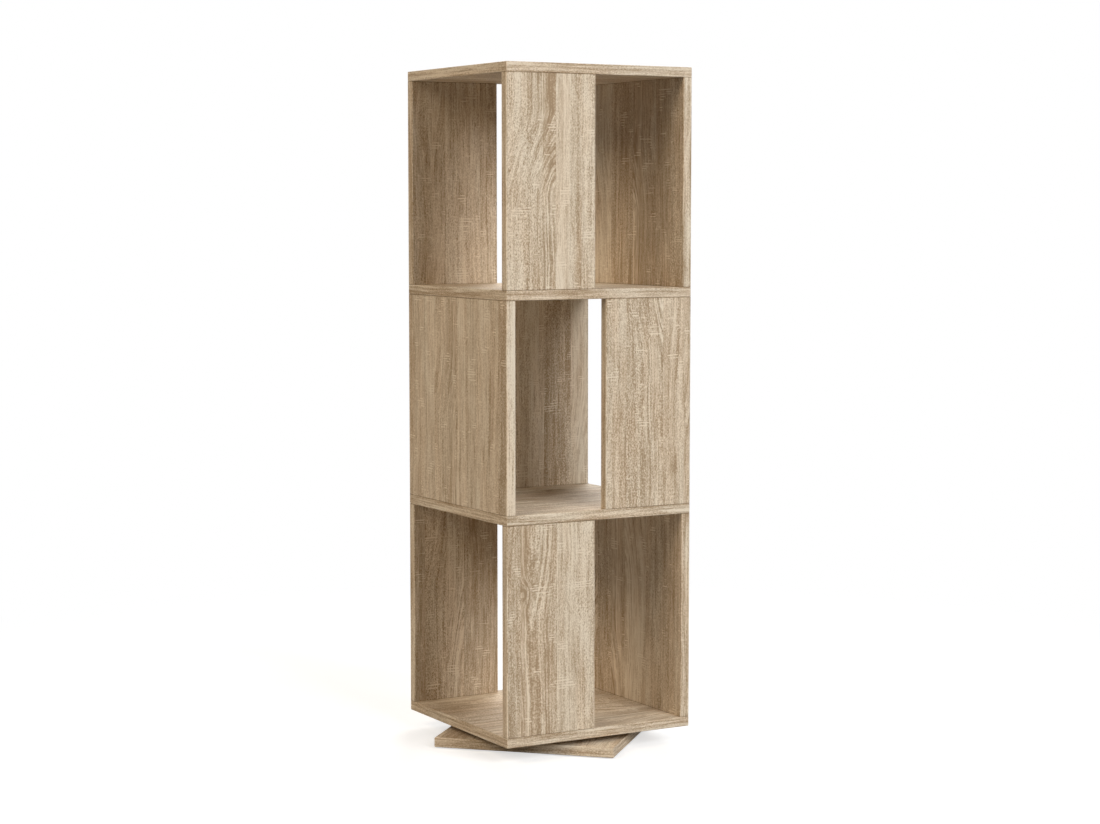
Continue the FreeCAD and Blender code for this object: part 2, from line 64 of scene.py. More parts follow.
class Plank(NamedTuple):
    """A strip of a plank printed on a face. Lengths are in millimetres."""

    start: float    # where it starts, from the left edge
    light: float    # how light it is, from 0 to 1
    speckle: float  # how speckled it is, from 0 to 1
    heart: float    # where the heart of its growth rings lies, from the left edge
    closing: float  # how far the rings close over the heart; below 0 they close downwards
    height: float   # how high over the middle of the face they close
    shift: float    # where in the rings the print starts, from 0 to 1


# The faces that show most. The planks of the others are drawn from the names of their pieces.
PLANKS = {
    "top_front_panel": (
        Plank(0, 0.66, 0.9, 92, 42, 45, 0.11),
        Plank(36, 0.52, 0.9, 92, 42, 45, 0.11),
        Plank(64, 0.38, 0.7, 92, 42, 45, 0.11),
        Plank(88, 0.66, 0.2, 420, 0, 0, 0.42),
        Plank(112, 0.52, 0.6, -260, 2, 0, 0.27),
        Plank(134, 0.64, 0.7, 330, 0, 0, 0.71)),
    "middle_front_panel": (
        Plank(0, 0.52, 0.7, -330, 0, 0, 0.33),
        Plank(38, 0.46, 1.0, 108, -18, 130, 0.15),
        Plank(80, 0.53, 1.0, 108, -18, 130, 0.15),
        Plank(107, 0.54, 0.6, 390, 0, 0, 0.80),
        Plank(147, 0.44, 0.8, 172, 20, -20, 0.55)),
    "bottom_front_panel": (
        Plank(0, 0.42, 0.8, -300, 0, 0, 0.62),
        Plank(24, 0.30, 0.5, 48, -9, 70, 0.91),
        Plank(36, 0.46, 1.0, 48, -9, 70, 0.91),
        Plank(68, 0.38, 0.9, 48, -9, 70, 0.91),
        Plank(90, 0.60, 0.5, 400, 0, 0, 0.24),
        Plank(128, 0.64, 0.7, 400, 0, 0, 0.24)),
    "middle_side_panel": (
        Plank(0, 0.52, 0.4, -300, 0, 0, 0.37),
        Plank(22, 0.54, 0.3, -240, 3, 0, 0.66),
        Plank(56, 0.60, 0.3, -240, 3, 0, 0.66),
        Plank(92, 0.58, 0.5, 176, 24, 20, 0.05),
        Plank(130, 0.44, 0.5, 176, 24, 20, 0.05),
        Plank(170, 0.63, 0.3, 460, 0, 0, 0.48),
        Plank(201, 0.52, 0.3, 460, 0, 0, 0.48),
        Plank(238, 0.62, 0.4, 560, 2, 0, 0.83),
        Plank(272, 0.57, 0.5, 560, 2, 0, 0.83),
        Plank(312, 0.36, 0.9, 40, 0, 0, 0.19)),
}

# Limits between which the other planks are drawn, with lengths in millimetres.
PLANK_LIGHT = (0.38, 0.66)
PLANK_SPECKLE = (0.2, 0.9)
CLOSING_HEIGHT = (-110, 110)
ARCHED_SHARE = 0.45            # share of the planks that lie near the heart of their rings
ARCHED_HEARTS = (-0.04, 1.04)  # where the heart may lie there, in widths of the plank
ARCHED_CLOSING = (14, 26)
STRAIGHT_HEARTS = (-300, 350)  # where it may lie in the others, from the start of the plank
STRAIGHT_CLOSING = (0, 3)

# Knots: how far from the left edge, how high over the middle, and how large, in millimetres.
KNOTS = {
    "bottom_front_panel": (33, 60, 4.2),
    "bottom_board": (196, -146, 3.0),
    "top_rear_panel": (52, -38, 4.2),
    "middle_side_panel": (205, 96, 2.6),
}
NO_KNOT = (-900, -900, 1)

# How light the edge bands of some pieces are, from 0 to 1. The others are drawn from their names,
# between the limits of EDGE_LIGHT.
EDGE_TONES = {
    "middle_side_panel": 0.76, "top_side_panel": 0.52, "bottom_side_panel": 0.53,
    "top_board": 0.60, "lower_shelf": 0.50, "base_plate": 0.50,
}
EDGE_LIGHT = (0.50, 0.66)
EDGE_SPECKLE = 0.4
EDGE_HEART = 300  # where the heart of their rings lies, in millimetres


# ---- settings -----------------------------------------------------------------------------------

def colour(name, description, default):
    """A colour that can be set."""
    return bpy.props.FloatVectorProperty(
        name=name, description=description, default=default, subtype="COLOR", size=3, min=0, max=1)


def length(name, description, default):
    """A length in metres that can be set."""
    return bpy.props.FloatProperty(
        name=name, description=description, default=default, unit="LENGTH", min=0)


def power(name, description, default):
    """The power of a light in watts."""
    return bpy.props.FloatProperty(
        name=name, description=description, default=default, unit="POWER")


class DecorSettings(bpy.types.PropertyGroup):
    """Sizes and colours of the printed oak decor."""

    pale: colour("Pale wood", "Lightest tone of the print", (0.80, 0.715, 0.585))
    middle: colour("Middle wood", "Middle tone of the print", (0.585, 0.480, 0.358))
    dark: colour("Dark wood", "Darkest tone of the print", (0.370, 0.272, 0.172))
    core: colour("Chipboard", "Colour of the board under the print", (0.50, 0.38, 0.24))
    band: length("Edge band", "Thickness of the edge bands", 0.002)
    saw_pitch: length("Saw mark pitch", "Distance between two saw marks", 0.0042)
    widest: length("Widest plank", "Width of the widest printed plank", 0.095)
    narrowest: length("Narrowest plank", "Width of the narrowest printed plank", 0.040)


class HardwareSettings(bpy.types.PropertyGroup):
    """Colours of the metal, plastic and beech pieces."""

    sheet: colour("Galvanised sheet", "Zinc-plated bearing plates", (0.62, 0.63, 0.64))
    zinc: colour("Zinc plate", "Screws", (0.66, 0.66, 0.65))
    steel: colour("Ball steel", "Bearing balls", (0.70, 0.70, 0.71))
    nylon: colour("Nylon", "Ball cage", (0.035, 0.035, 0.038))
    cap: colour("Cover caps", "Plastic caps over the screws", (0.54, 0.44, 0.32))
    glide: colour("Glides", "Plastic glides under the base plate", (0.76, 0.75, 0.72))
    beech: colour("Beech", "Dowels", (0.62, 0.45, 0.28))


class StudioSettings(bpy.types.PropertyGroup):
    """Camera, lights and floor."""

    camera_place: bpy.props.FloatVectorProperty(
        name="Camera", description="Place of the camera", default=(-1.9299, -3.3766, 0.8756),
        subtype="TRANSLATION", size=3)
    camera_heading: bpy.props.FloatProperty(
        name="Heading", description="Turn of the camera from +Y towards +X",
        default=math.radians(29.811), subtype="ANGLE")
    camera_dip: bpy.props.FloatProperty(
        name="Dip", description="Angle at which the camera looks down",
        default=math.radians(4.936), subtype="ANGLE")
    camera_lens: bpy.props.FloatProperty(
        name="Lens", description="Focal length in millimetres on a 36 mm sensor", default=77.402)
    key_watts: power("Key light", "Power of the large light in front of the -Y side", 374.0)
    fill_watts: power("Fill light", "Power of the large warm light on the -X side", 192.0)
    rear_watts: power("Rear light", "Power of the large light behind, between +X and +Y", 290.0)
    ambient: bpy.props.FloatProperty(
        name="Ambient", description="Strength of the light from all round", default=0.012, min=0)
    floor: colour("Floor", "Colour of the floor", (0.62, 0.635, 0.655))
    floor_radius: length("Floor radius", "Where the floor has faded into the background", 1.6)


# ---- node trees ---------------------------------------------------------------------------------

# Inputs of a Mix node for the factor and the two values, and the output for the result.
MIXED_COLOURS = ((0, 6, 7), 2)
MIXED_VECTORS = ((0, 4, 5), 1)


class Graph:
    """Adds nodes to one tree. An input is a number, a tuple or the socket of another node."""

    def __init__(self, tree):
        self.tree = tree

    def feed(self, socket, value):
        """Link a socket to an input, or set the input's value."""
        if isinstance(value, bpy.types.NodeSocket):
            self.tree.links.new(value, socket)
        elif socket.type == "RGBA":
            socket.default_value = (*value[:3], 1.0)
        else:
            socket.default_value = value

    def node(self, kind, settings=None, **inputs):
        """A node with its settings, and with inputs named as on the node (_ for a space)."""
        made = self.tree.nodes.new(kind)
        for name, value in (settings or {}).items():
            setattr(made, name, value)
        for name, value in inputs.items():
            self.feed(made.inputs[name.replace("_", " ")], value)
        return made

    def numbered(self, kind, settings, values, places=None):
        """A node whose inputs are fed in order, or at the given places."""
        made = self.node(kind, settings)
        for place, value in zip(places or range(len(values)), values):
            self.feed(made.inputs[place], value)
        return made

    def math(self, operation, *values):
        """One step of arithmetic."""
        return self.numbered("ShaderNodeMath", {"operation": operation}, values).outputs[0]

    def add(self, *values):
        """The sum of two or more numbers."""
        total = values[0]
        for value in values[1:]:
            total = self.math("ADD", total, value)
        return total

    def times(self, *values):
        """The product of two or more numbers."""
        total = values[0]
        for value in values[1:]:
            total = self.math("MULTIPLY", total, value)
        return total

    def less(self, value, taken):
        """A number less another one."""
        return self.math("SUBTRACT", value, taken)

    def opposite(self, share):
        """What a share leaves of 1."""
        return self.less(1.0, share)

    def vector(self, operation, *values):
        """One step of vector arithmetic."""
        made = self.numbered("ShaderNodeVectorMath", {"operation": operation}, values)
        scalar = operation in ("DOT_PRODUCT", "LENGTH")
        return made.outputs["Value" if scalar else "Vector"]

    def split(self, vector):
        """The three parts of a vector."""
        return self.node("ShaderNodeSeparateXYZ", Vector=vector).outputs[:3]

    def join(self, x, y, z):
        """A vector from its three parts."""
        return self.node("ShaderNodeCombineXYZ", X=x, Y=y, Z=z).outputs[0]

    def parts(self, tone):
        """The red, green and blue of a colour."""
        return self.node("ShaderNodeSeparateColor", Color=tone).outputs[:3]

    def grey(self, lightness):
        """A grey of a lightness."""
        return self.node("ShaderNodeCombineColor", Red=lightness, Green=lightness,
                         Blue=lightness).outputs[0]

    def smooth(self, value, low, high):
        """0 below low and 1 above high, with a smooth step between."""
        made = self.node("ShaderNodeMapRange", {"interpolation_type": "SMOOTHSTEP"}, Value=value,
                         From_Min=low, From_Max=high)
        return made.outputs[0]

    def noise(self, vector, lumps, detail=2.0, roughness=0.5):
        """Noise centred on 0, whose lumps have about the given size along each axis."""
        made = self.node("ShaderNodeTexNoise", Vector=self.vector("DIVIDE", vector, lumps),
                         Scale=1.0, Detail=detail, Roughness=roughness)
        return self.less(made.outputs[0], 0.5)

    def noise_line(self, value, lump, detail=0.0):
        """Noise along one number, centred on 0."""
        made = self.node("ShaderNodeTexNoise", {"noise_dimensions": "1D"},
                         W=self.math("DIVIDE", value, lump), Scale=1.0, Detail=detail,
                         Roughness=0.5)
        return self.less(made.outputs[0], 0.5)

    def mix(self, factor, first, second):
        """Blend two colours."""
        places, result = MIXED_COLOURS
        made = self.numbered("ShaderNodeMix", {"data_type": "RGBA"}, (factor, first, second),
                             places)
        return made.outputs[result]

    def tint(self, factor, shade, tone):
        """Multiply a colour by another one, by a factor."""
        places, result = MIXED_COLOURS
        made = self.numbered("ShaderNodeMix", {"data_type": "RGBA", "blend_type": "MULTIPLY"},
                             (factor, shade, tone), places)
        return made.outputs[result]

    def choose(self, factor, first, second):
        """Blend two vectors."""
        places, result = MIXED_VECTORS
        made = self.numbered("ShaderNodeMix", {"data_type": "VECTOR"}, (factor, first, second),
                             places)
        return made.outputs[result]

    def blend(self, factor, first, second):
        """Blend two shaders."""
        return self.numbered("ShaderNodeMixShader", None, (factor, first, second)).outputs[0]

    def object_place(self):
        """The point of the surface in metres, which stays with the piece when it moves."""
        return self.node("ShaderNodeTexCoord").outputs["Object"]


def new_group(name, inputs, outputs):
    """An empty shader node group. Returns its graph, its inputs by name and its output node."""
    tree = bpy.data.node_groups.new(name, "ShaderNodeTree")
    for direction, sockets in (("INPUT", inputs), ("OUTPUT", outputs)):
        for label, kind in sockets.items():
            tree.interface.new_socket(label, in_out=direction, socket_type=f"NodeSocket{kind}")
    graph = Graph(tree)
    entry = graph.node("NodeGroupInput")
    return graph, entry.outputs, graph.node("NodeGroupOutput").inputs


def place_group(graph, name, **inputs):
    """An instance of a group in a material, with its inputs fed by name (_ for a space)."""
    made = graph.node("ShaderNodeGroup", {"node_tree": bpy.data.node_groups[name]}, **inputs)
    return made.outputs


def new_material(name):
    """A material with one Principled shader. Returns it, its graph and the shader's inputs."""
    material = bpy.data.materials.new(name)
    material.use_nodes = True
    shader = material.node_tree.nodes["Principled BSDF"]
    return material, Graph(material.node_tree), shader.inputs


def bump(graph, height, distance):
    """A normal from a height, where a height of 1 stands distance metres high."""
    return graph.node("ShaderNodeBump", Height=height, Strength=1.0,
                      Distance=distance).outputs["Normal"]


def dress(name, material):
    """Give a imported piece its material."""
    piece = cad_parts[name]
    piece.data.materials.clear()
    piece.data.materials.append(material)


# ---- shared effect: the regions of a plate ------------------------------------------------------

PLATE_GROUP = "Plate regions"

# All in metres.
FOIL = 0.0004                     # how deep the print goes into a face
JOINT_SHADOW = (0.0004, 0.0010)   # where the shadow of a panel's joint with a board fades
SEAM_SHADOW = (0.00005, 0.00016)  # where the shadow of an edge band's seam fades
BACK_SHIFT = 0.061                # how far aside the print lies on the back
BACK_SHEET = 0.3                  # how far from the front's sheet the back's sheet is
SIDE_SHEET = 0.7                  # the same for the bands on the sides
END_SHEET = 1.1                   # and for the bands on the ends


def build_plate_group():
    """Tell the faces, the edge bands and the core of a plate apart, lay the print on each, and
    mask the band seams and the painted shadow along a panel's ends where it meets a board.
    """
    graph, given, results = new_group(
        PLATE_GROUP,
        {"Position": "Vector", "Half Size": "Vector", "Band": "Float", "Banded Ends": "Float"},
        {"Print": "Vector", "Edge": "Float", "Core": "Float", "Seam": "Float"})
    across, along, depth = graph.split(given["Position"])
    inside = graph.vector("SUBTRACT", given["Half Size"],
                          graph.vector("ABSOLUTE", given["Position"]))
    from_side, from_end, from_face = graph.split(inside)
    unbanded = graph.opposite(given["Banded Ends"])
    # Painted shadow: the face darkens towards an unbanded end, where the panel stands against a
    # board.
    painted_joint_shade = graph.times(unbanded, graph.opposite(graph.smooth(from_end, *JOINT_SHADOW)))
    from_end = graph.add(from_end, unbanded)
    from_rim = graph.math("MINIMUM", from_side, from_end)
    edge = graph.math("LESS_THAN", from_rim, given["Band"])
    deep = graph.math("GREATER_THAN", from_face, FOIL)

    behind = graph.math("LESS_THAN", depth, 0.0)
    face_print = graph.join(graph.add(across, graph.times(behind, BACK_SHIFT)), along,
                            graph.times(behind, BACK_SHEET))
    side_print = graph.join(depth, along, SIDE_SHEET)
    end_print = graph.join(depth, across, END_SHEET)
    at_end = graph.math("LESS_THAN", from_end, from_side)
    edge_print = graph.choose(at_end, side_print, end_print)

    off_seam = graph.math("ABSOLUTE", graph.less(from_rim, given["Band"]))
    seam = graph.opposite(graph.smooth(off_seam, *SEAM_SHADOW))
    graph.feed(results["Print"], graph.choose(edge, face_print, edge_print))
    graph.feed(results["Edge"], edge)
    graph.feed(results["Core"], graph.times(deep, graph.opposite(edge)))
    graph.feed(results["Seam"], graph.math("MAXIMUM", seam, painted_joint_shade))


# ---- shared effect: the oak print ---------------------------------------------------------------

OAK_GROUP = "Rough-sawn oak print"

# Ring values from -800 to 800 mm are stored in a colour as 0 to 1.
RING_REACH = 1600.0


class Feature(NamedTuple):
    """The noise behind one feature of the print."""

    lumps: tuple                  # size across the grain, along it and between sheets, in mm
    detail: float = 1.0
    roughness: float = 0.5
    step: Optional[tuple] = None  # where the feature starts to show, and where it is full


FEATURES = {
    "bend": Feature((70, 280, 50)),
    "ripple": Feature((12, 34, 10), 2.0),
    "streak": Feature((9, 260, 22), 3.0, 0.6),
    "brown": Feature((8, 120, 20), step=(0.06, 0.20)),
    "band": Feature((3.6, 130, 9)),
    "strand": Feature((1.35, 30, 3.2), 1.5, 0.6),
    "dash": Feature((1.4, 3.0, 3.0), 1.0, 0.6),
    "pore": Feature((0.55, 6.5, 1.3), step=(0.10, 0.20)),
    "limed": Feature((0.8, 7.5, 1.8), step=(0.10, 0.20)),
    "cloud": Feature((26, 90, 60), 2.0),
    "rough": Feature((12, 90, 25), 1.5),
    "pink": Feature((30, 200, 60), 2.0, step=(-0.12, 0.12)),
    "saw_wander": Feature((110, 26, 26)),
    "saw_patch": Feature((32, 26, 30), step=(0.12, 0.20)),
    "saw_break": Feature((22, 3.2, 40), step=(-0.14, 0.04)),
}

# How much each feature darkens the print, or lightens it if below 0.
SHADES = {
    "strand": 1.20, "pore": 0.22, "limed": -0.22, "streak": 1.20, "brown": 0.24, "cloud": 0.55,
    "saw": -0.90, "knot": 0.80,
}
MIDDLE_SHADE = 0.50  # shade of a plain plank of middle lightness
PLANK_SHADE = 1.50   # how much a plank's own tone counts
BAND_SHADE = 0.62    # how much its bands along the rings count
DASH_SHADE = 2.20    # how much its speckle counts

# How much each feature stands out from the face, and how much it roughens it.
RELIEFS = {"strand": -0.5, "dash": -0.5, "pore": -0.4, "saw": 0.3}
ROUGHENING = {"streak": 0.25, "pore": 0.10}
PRINT_ROUGHNESS = 0.72
PINK_CAST = (1.01, 0.98, 0.955)

# Growth rings, in millimetres.
PLANK_SHIFT = 400.0          # how far apart the rings of two planks may start
LAYER_STEP = 12.0            # how far the grain moves on for each millimetre between sheets
BEND_REACH = 30.0            # how far slow bends push the rings aside
RIPPLE_REACH = 5.0           # how far ripples push them aside
EDGE_STIFFNESS = 0.8         # share of bends and ripples that edge bands lack
HEART_ROUNDNESS = 300.0      # how round the rings are at their heart, in square millimetres
ARCH_LEAN = 2.0              # how much bends raise the arch in which the rings close
ARCH_HEIGHT = (-75.0, 75.0)  # where the arch starts and ends, from its middle
NEAR_HEART = (22.0, 60.0)    # where the strong figure of the heart fades

# Lines along the rings: their width in millimetres, and how much they darken the print.
FINE_LINES, FINE_SHADE = 2.8, 0.72
WIDE_LINES, WIDE_SHADE = 8.0, 0.42
PALE_LINES, PALE_SHADE = 2.4, -0.24
PALE_STEP = (0.06, 0.16)
FAR_FIGURE = 0.25  # share of the lines that is left far from the heart

# Knots.
KNOT_LENGTHWISE = 0.55   # how much a distance along the grain counts against one across it
KNOT_FALLOFF = -0.22     # how fast their push on the rings falls off
KNOT_SWELL = 2.2         # how far they push the rings out, in sizes of the knot
KNOT_CORE = (0.25, 1.0)  # where their dark core fades, in sizes of the knot

# Saw marks, in shares of their pitch.
SAW_WANDER = 2.0           # how far they wander up and down
SAW_STROKE = (0.22, 0.40)  # where a mark starts and is full, from the middle between two

# Speckle: what its own noise, the plank and the heart add to it.
LEAST_ROUGH = 0.35
OWN_ROUGH, PLANK_ROUGH, HEART_ROUGH = 1.2, 0.9, -0.45


def feature(graph, name, place):
    """A feature's noise at a place of the print, stepped where the feature has a step."""
    lumps, detail, roughness, step = FEATURES[name]
    value = graph.noise(place, lumps, detail, roughness)
    return graph.smooth(value, *step) if step else value


def weighed(graph, features, weights):
    """Each feature that has a weight, times its weight."""
    return [graph.times(features[name], weight) for name, weight in weights.items()]


def growth_rings(graph, given, seeded, shift):
    """Where in the growth rings a point lies, and how far it is from their heart."""
    across, along, _ = graph.split(seeded)
    heart, closing, height = [graph.times(graph.less(value, 0.5), RING_REACH)
                              for value in graph.parts(given["Rings"])]
    sway = graph.opposite(graph.times(given["Edge"], EDGE_STIFFNESS))
    bend = graph.times(feature(graph, "bend", seeded), BEND_REACH, sway)
    ripple = graph.times(feature(graph, "ripple", seeded), RIPPLE_REACH, sway)
    beside = graph.add(graph.less(across, heart), bend, ripple)
    from_heart = graph.math("SQRT", graph.add(graph.times(beside, beside), HEART_ROUNDNESS))
    over = graph.add(graph.less(along, height), graph.times(bend, ARCH_LEAN))
    arch = graph.times(closing, graph.smooth(over, *ARCH_HEIGHT))
    return graph.add(from_heart, arch, shift), from_heart


def knot_at(graph, given, across, along, on_face):
    """The dark core of the knot, and how far it pushes the rings out."""
    knot_across, knot_along, knot_size = graph.split(given["Knot"])
    from_knot = graph.join(graph.less(across, knot_across),
                           graph.times(graph.less(along, knot_along), KNOT_LENGTHWISE), 0.0)
    reach = graph.math("DIVIDE", graph.vector("LENGTH", from_knot), knot_size)
    swell = graph.math("EXPONENT", graph.times(reach, reach, KNOT_FALLOFF))
    core = graph.times(graph.opposite(graph.smooth(reach, *KNOT_CORE)), on_face)
    return core, graph.times(swell, knot_size, KNOT_SWELL, on_face)


def ring_figure(graph, ring, near_heart):
    """Fine, wide and pale lines along the rings, strongest near the heart."""
    pale = graph.smooth(graph.noise_line(ring, PALE_LINES), *PALE_STEP)
    figure = graph.add(
        graph.times(graph.noise_line(ring, FINE_LINES, detail=1.0), FINE_SHADE),
        graph.times(graph.noise_line(ring, WIDE_LINES), WIDE_SHADE),
        graph.times(pale, PALE_SHADE))
    return graph.times(figure, graph.add(FAR_FIGURE, near_heart))


def saw_marks(graph, given, place, seeded, on_face):
    """Patches of short level marks that the saw left across the grain."""
    along = graph.split(place)[1]
    wander = graph.times(feature(graph, "saw_wander", place), SAW_WANDER)
    pitch = graph.times(given["Saw Pitch"], MM)
    tooth = graph.math("FRACT", graph.add(graph.math("DIVIDE", along, pitch), wander))
    stroke = graph.smooth(graph.math("ABSOLUTE", graph.less(tooth, 0.5)), *SAW_STROKE)
    return graph.times(stroke, feature(graph, "saw_patch", seeded),
                       feature(graph, "saw_break", place), on_face)


def build_oak_group():
    """A print of rough-sawn oak: growth rings, streaks, short pores and patches of saw marks."""
    graph, given, results = new_group(
        OAK_GROUP,
        {"Print": "Vector", "Tone": "Color", "Rings": "Color", "Knot": "Vector", "Edge": "Float",
         "Saw Pitch": "Float", "Pale": "Color", "Middle": "Color", "Dark": "Color"},
        {"Color": "Color", "Height": "Float", "Roughness": "Float"})
    place = graph.vector("MULTIPLY", given["Print"], (MM, MM, MM))
    across, along, sheet = graph.split(place)
    on_face = graph.opposite(given["Edge"])
    light, speckle, shift = graph.parts(given["Tone"])
    shift = graph.times(shift, PLANK_SHIFT)
    layer = graph.add(sheet, shift)
    seeded = graph.join(across, along, layer)

    ring, from_heart = growth_rings(graph, given, seeded, shift)
    near_heart = graph.opposite(graph.smooth(from_heart, *NEAR_HEART))
    core, swell = knot_at(graph, given, across, along, on_face)
    ring = graph.add(ring, swell)

    grain = graph.join(ring, along, graph.add(across, graph.times(layer, LAYER_STEP)))
    features = {name: feature(graph, name, grain)
                for name in ("streak", "brown", "band", "strand", "dash", "pore", "limed")}
    features["cloud"] = feature(graph, "cloud", seeded)
    features["knot"] = core
    features["saw"] = saw_marks(graph, given, place, seeded, on_face)
    rough = graph.add(
        graph.times(feature(graph, "rough", grain), OWN_ROUGH), LEAST_ROUGH,
        graph.times(speckle, PLANK_ROUGH), graph.times(near_heart, HEART_ROUGH))

    shade = graph.add(
        MIDDLE_SHADE, ring_figure(graph, ring, near_heart),
        graph.times(features["band"], graph.add(BAND_SHADE, given["Edge"])),
        graph.times(features["dash"], rough, DASH_SHADE),
        graph.times(graph.less(0.5, light), PLANK_SHADE),
        *weighed(graph, features, SHADES))
    double = graph.times(shade, 2.0)
    tone = graph.mix(double, given["Pale"], given["Middle"])
    tone = graph.mix(graph.less(double, 1.0), tone, given["Dark"])
    tone = graph.tint(feature(graph, "pink", seeded), tone, PINK_CAST)
    graph.feed(results["Color"], tone)
    graph.feed(results["Height"], graph.add(*weighed(graph, features, RELIEFS)))
    graph.feed(results["Roughness"],
               graph.add(PRINT_ROUGHNESS, *weighed(graph, features, ROUGHENING)))


# ---- shared effect: chipboard -------------------------------------------------------------------

CHIP_GROUP = "Chipboard core"
FLAKES_PER_METRE = 620.0
FLAKE_FLATNESS = (1, 1, 2.2)
SPECKS = (0.0006, 0.0006, 0.0006)
CHIP_LIGHT, FLAKE_LIGHT = 0.72, 0.5


def build_chip_group():
    """Chipboard seen where it is cut: flakes of wood pressed in resin."""
    graph, given, results = new_group(
        CHIP_GROUP, {"Position": "Vector", "Tone": "Color"}, {"Color": "Color", "Height": "Float"})
    flakes = graph.node("ShaderNodeTexVoronoi", Scale=FLAKES_PER_METRE,
                        Vector=graph.vector("MULTIPLY", given["Position"], FLAKE_FLATNESS))
    lightness = graph.parts(flakes.outputs["Color"])[0]
    specks = graph.noise(given["Position"], SPECKS, detail=3.0, roughness=0.7)
    shade = graph.add(CHIP_LIGHT, graph.times(lightness, FLAKE_LIGHT), specks)
    graph.feed(results["Color"], graph.tint(1.0, given["Tone"], graph.grey(shade)))
    graph.feed(results["Height"], graph.add(flakes.outputs["Distance"], specks))


# ---- boards and panels --------------------------------------------------------------------------

# Darkening for the band seams and for the painted shadow along the panel ends, and how deep the
# same mask cuts in.
SEAM_AND_SHADE_TONE = (0.56, 0.51, 0.44)
SEAM_DEPTH = -0.8
CHIP_ROUGHNESS = 0.9
DECOR_SPECULAR = 0.26
DECOR_RELIEF = 0.00025  # metres


def span_along(name, axis):
    """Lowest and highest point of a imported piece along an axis."""
    spots = [vertex.co.dot(axis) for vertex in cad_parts[name].data.vertices]
    return min(spots), max(spots)


def plate_axes(name, grain=None):
    """Across the grain, along it and out of the face, for a plate that lies along the axes."""
    low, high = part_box(name)
    extent = high - low
    thin = min(range(3), key=lambda axis: extent[axis])
    out = Vector((0, 0, 0))
    out[thin] = -1.0 if (low + high)[thin] < 0 else 1.0
    if grain is None:
        lies_flat = thin == 2
        grain = Vector((1, 0, 0)) if lies_flat else Vector((0, 0, 1))
    return grain.cross(out), grain, out


def plank_layout(name, width, decor):
    """The planks of a face: the named ones, or others drawn from the piece's name."""
    if name in PLANKS:
        return PLANKS[name]
    draw = random.Random(name)
    planks, start = [], -draw.uniform(0, decor.narrowest) * MM
    while start < width * MM:
        wide = draw.uniform(decor.narrowest, decor.widest) * MM
        if draw.random() < ARCHED_SHARE:
            heart = start + wide * draw.choice(ARCHED_HEARTS)
            closing = draw.uniform(*ARCHED_CLOSING)
        else:
            heart = start + draw.choice(STRAIGHT_HEARTS)
            closing = draw.uniform(*STRAIGHT_CLOSING)
        light, speckle = draw.uniform(*PLANK_LIGHT), draw.uniform(*PLANK_SPECKLE)
        height, shift = draw.uniform(*CLOSING_HEIGHT), draw.random()
        planks.append(Plank(max(start, 0), light, speckle, heart, closing, height, shift))
        start += wide
    return planks


def as_colour_part(value):
    """A ring value in millimetres as it is stored in a colour."""
    return 0.5 + value / RING_REACH


def plank_ramps(graph, across, width, planks):
    """Look up the plank under a point: its tone and its rings, as two colours."""
    share = graph.math("DIVIDE", graph.add(across, width / 2), width)
    share = graph.math("FRACT", share)
    ramps = [graph.node("ShaderNodeValToRGB", Fac=share) for _ in range(2)]
    for ramp in ramps:
        ramp.color_ramp.interpolation = "CONSTANT"
        ramp.color_ramp.elements.remove(ramp.color_ramp.elements[1])
    for plank in planks:
        heart = plank.heart - width * MM / 2
        rings = [as_colour_part(value) for value in (heart, plank.closing, plank.height)]
        for ramp, values in zip(ramps, ((plank.light, plank.speckle, plank.shift), rings)):
            stops = ramp.color_ramp.elements
            stop = stops.new(plank.start / (width * MM)) if plank.start else stops[0]
            stop.color = (*values, 1.0)
    return [ramp.outputs["Color"] for ramp in ramps]


def decor_material(name, decor, axes, banded_ends):
    """Oak print on the faces and edge bands of one plate, and chipboard where it is cut."""
    material, graph, shader = new_material(f"{name} decor")
    spans = [span_along(name, axis) for axis in axes]
    middle = tuple((low + high) / 2 for low, high in spans)
    half = tuple((high - low) / 2 for low, high in spans)
    width = half[0] * 2
    point = graph.object_place()
    turned = graph.join(*[graph.vector("DOT_PRODUCT", point, tuple(axis)) for axis in axes])
    position = graph.vector("SUBTRACT", turned, middle)
    plate = place_group(graph, PLATE_GROUP, Position=position, Half_Size=half, Band=decor.band,
                        Banded_Ends=1.0 if banded_ends else 0.0)

    across = graph.split(plate["Print"])[0]
    tone, rings = plank_ramps(graph, across, width, plank_layout(name, width, decor))
    draw = random.Random(f"{name} edge")
    light, shift = draw.uniform(*EDGE_LIGHT), draw.random()
    edge_tone = (EDGE_TONES.get(name, light), EDGE_SPECKLE, shift)
    edge_rings = [as_colour_part(value) for value in (EDGE_HEART, 0, 0)]
    knot_across, knot_along, knot_size = KNOTS.get(name, NO_KNOT)
    oak = place_group(
        graph, OAK_GROUP, Print=plate["Print"], Edge=plate["Edge"],
        Tone=graph.mix(plate["Edge"], tone, edge_tone),
        Rings=graph.mix(plate["Edge"], rings, edge_rings),
        Knot=(knot_across - width * MM / 2, knot_along, knot_size),
        Saw_Pitch=decor.saw_pitch, Pale=decor.pale, Middle=decor.middle, Dark=decor.dark)
    chip = place_group(graph, CHIP_GROUP, Position=position, Tone=decor.core)

    # Darken the band seams, and paint shadow along the panel ends that meet the boards.
    skin = graph.tint(plate["Seam"], oak["Color"], SEAM_AND_SHADE_TONE)
    graph.feed(shader["Base Color"], graph.mix(plate["Core"], skin, chip["Color"]))
    graph.feed(shader["Roughness"], graph.math(
        "MAXIMUM", oak["Roughness"], graph.times(plate["Core"], CHIP_ROUGHNESS)))
    shader["Specular IOR Level"].default_value = DECOR_SPECULAR
    height = graph.add(oak["Height"], graph.times(plate["Seam"], SEAM_DEPTH),
                       graph.times(plate["Core"], chip["Height"]))
    graph.feed(shader["Normal"], bump(graph, height, DECOR_RELIEF))
    return material


